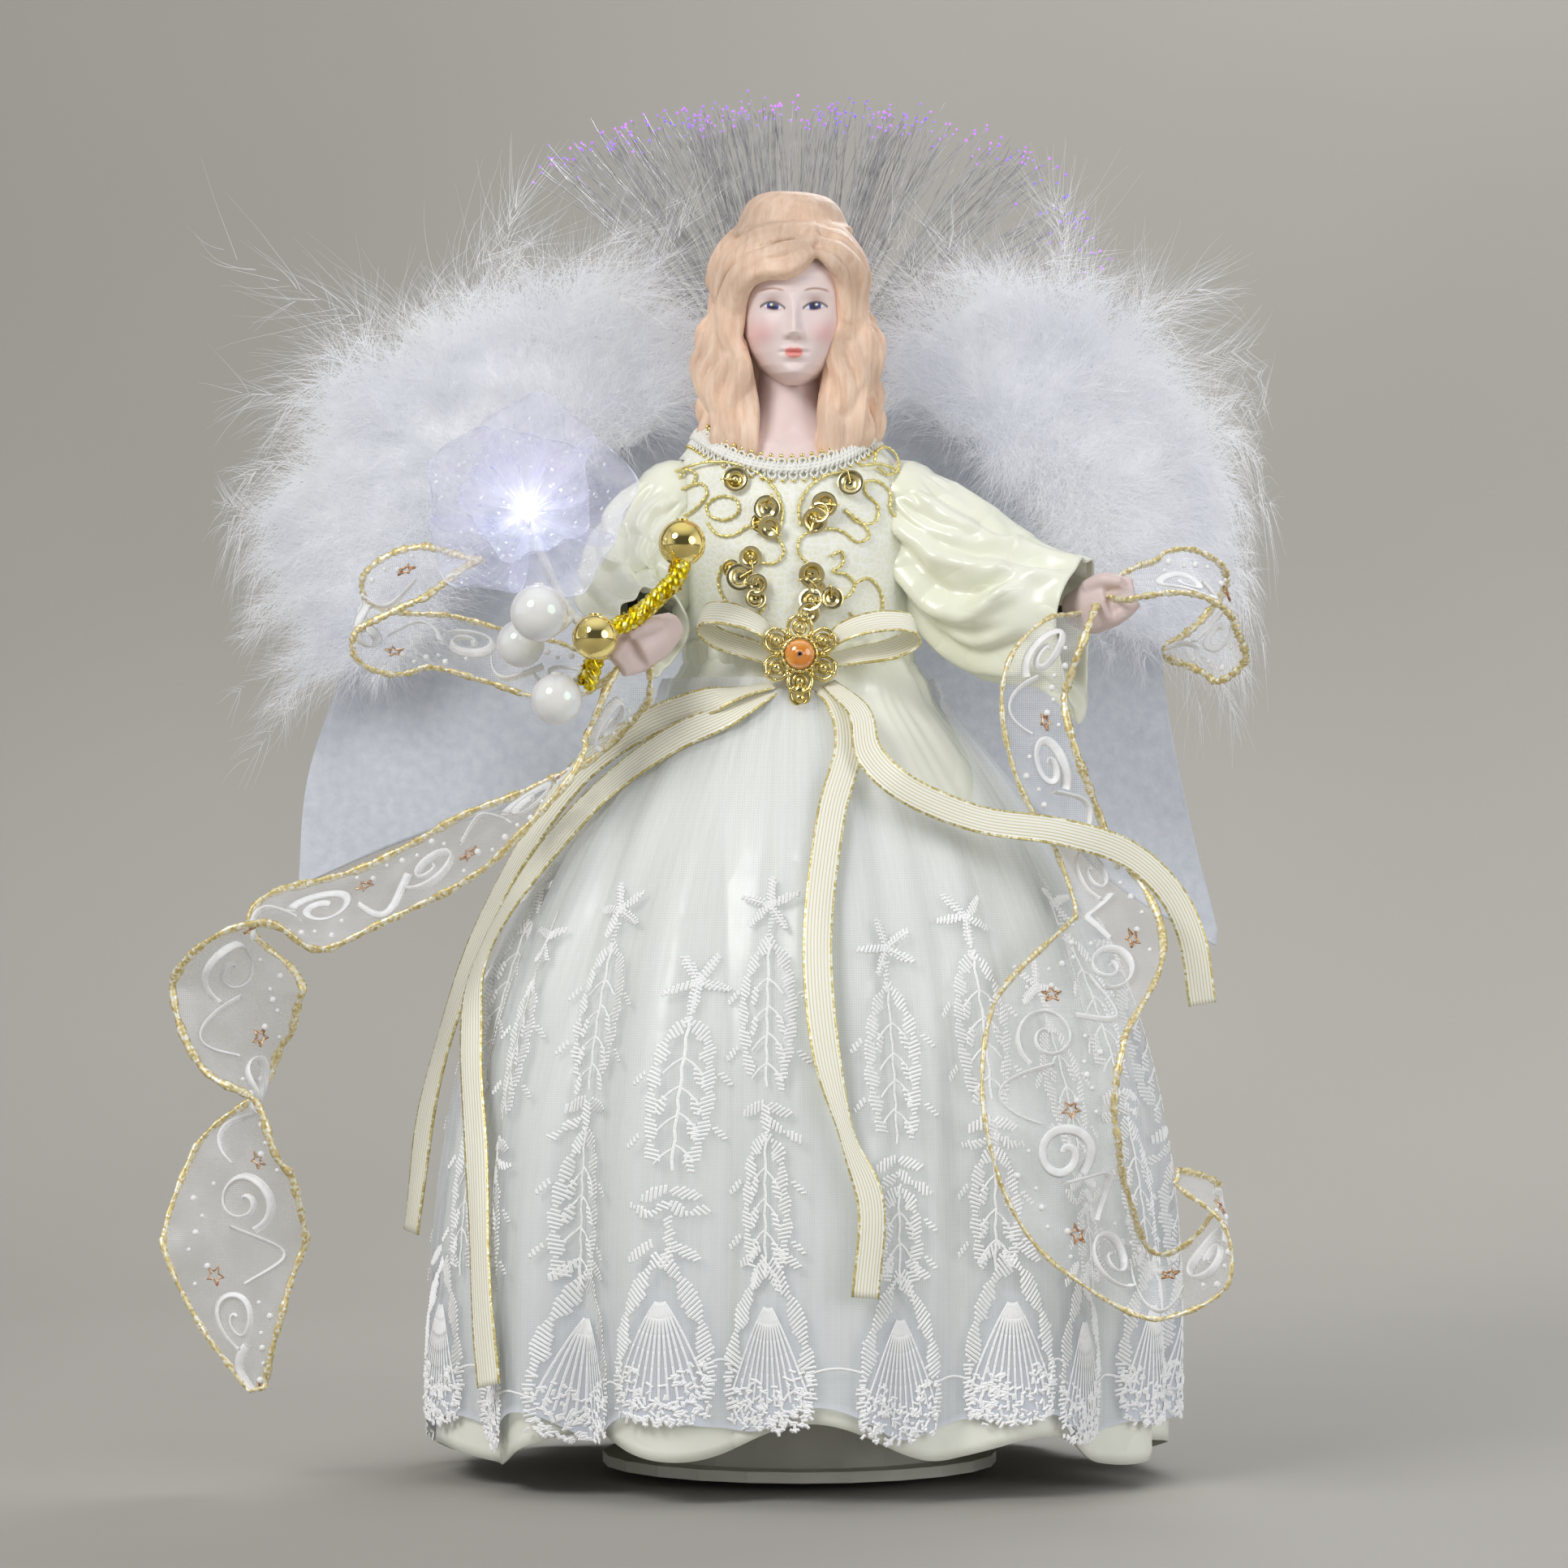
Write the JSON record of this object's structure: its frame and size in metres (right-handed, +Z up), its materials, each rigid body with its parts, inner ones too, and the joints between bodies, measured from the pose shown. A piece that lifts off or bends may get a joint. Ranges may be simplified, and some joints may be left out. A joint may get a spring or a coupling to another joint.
{
  "type": "angel tree topper",
  "caption": "Angel tree topper on a slip-over cone: dressed bisque doll with feathered felt wings, a light-fibre halo, a lit flower, ribbons and a battery box under the skirt.",
  "frame": {"origin": "centre of the cone foot, on the axis of the tree leader", "axes": "+Z up along the cone axis, the figure faces -Y, its right arm is at -X"},
  "size_m": [0.238, 0.1561, 0.3077],
  "materials": {
    "plastic": "moulded, satin",
    "foam": "matt foam",
    "bisque": "painted bisque, matt",
    "satin": "ivory satin",
    "organza": "sheer organza",
    "lace": "cotton braid",
    "ribbon": "striped metallic ribbon",
    "gold": "polished gold colour",
    "gold_plastic": "metallised gold",
    "amber": "faceted amber",
    "felt": "white felt",
    "feather": "white marabou down",
    "fibre": "clear optical fibre",
    "dark": "black",
    "wire": "black wrapped wire",
    "steel": "nickel plated",
    "cell": "plain sleeve",
    "petal": "sheer glitter cloth",
    "led": "clear lens, lit",
    "stem": "white wrapped stem",
    "pearl": "pearlised"
  },
  "bodies": {
    "body": {"base_cone": "plastic", "battery_tray": "plastic", "torso_core": "foam", "wing_block": "foam", "head": "bisque", "bodice": "satin", "underskirt": "satin", "overskirt": "organza", "garland_right_loop": "organza", "garland_right_tail": "organza", "garland_left_loop": "organza", "garland_left_tail": "organza", "neckline_trim": "lace", "waist_sash": "ribbon", "bow_knot": "ribbon", "bow_loop_right": "ribbon", "bow_loop_left": "ribbon", "sash_tail_right_outer": "ribbon", "sash_tail_right_inner": "ribbon", "sash_tail_centre": "ribbon", "sash_tail_left": "ribbon", "brooch_setting": "gold", "brooch_stone": "amber", "wing_right": "felt", "wing_left": "felt", "marabou_right": "feather", "marabou_left": "feather", "fibre_bundle": "fibre", "halo_fibres_1": "fibre", "halo_fibres_2": "fibre", "halo_fibres_3": "fibre", "halo_fibres_4": "fibre", "light_unit": "dark", "lead_wire": "dark", "fibre_ferrule": "steel", "contact_top": "steel", "contact_bottom": "steel", "battery_1": "cell", "battery_2": "cell", "battery_3": "cell"},
    "arm_right": {"sleeve_right": "satin", "hand_right": "bisque", "arm_wire_right": "wire", "flower_outer": "petal", "flower_inner": "petal", "flower_led": "led", "flower_stem": "stem", "gold_stem": "gold_plastic", "pearl_1": "pearl", "pearl_2": "pearl", "pearl_3": "pearl", "gold_ball_1": "gold_plastic", "gold_ball_2": "gold_plastic"},
    "arm_left": {"sleeve_left": "satin", "hand_left": "bisque", "arm_wire_left": "wire"},
    "battery_door": {"battery_door": "plastic"},
    "switch_slider": {"switch_slider": "dark"}
  },
  "joints": [
    {"name": "arm_right_swing", "type": "hinge", "parent": "body", "child": "arm_right", "pos_m": [-0.02778, -0.002, 0.214], "axis": [0, 1, 0], "range_deg": [-4, 22], "deforming": ["garland_right_loop", "garland_right_tail"]},
    {"name": "arm_left_swing", "type": "hinge", "parent": "body", "child": "arm_left", "pos_m": [0.02322, -0.002, 0.214], "axis": [0, -1, 0], "range_deg": [-4, 22], "deforming": ["garland_left_loop", "garland_left_tail"]},
    {"name": "battery_door_slide", "type": "slide", "parent": "body", "child": "battery_door", "axis": [0, 0, -1], "range_m": [0, 0.03]},
    {"name": "switch_slide", "type": "slide", "parent": "body", "child": "switch_slider", "axis": [0, 0, 1], "range_m": [0, 0.003]}
  ]
}
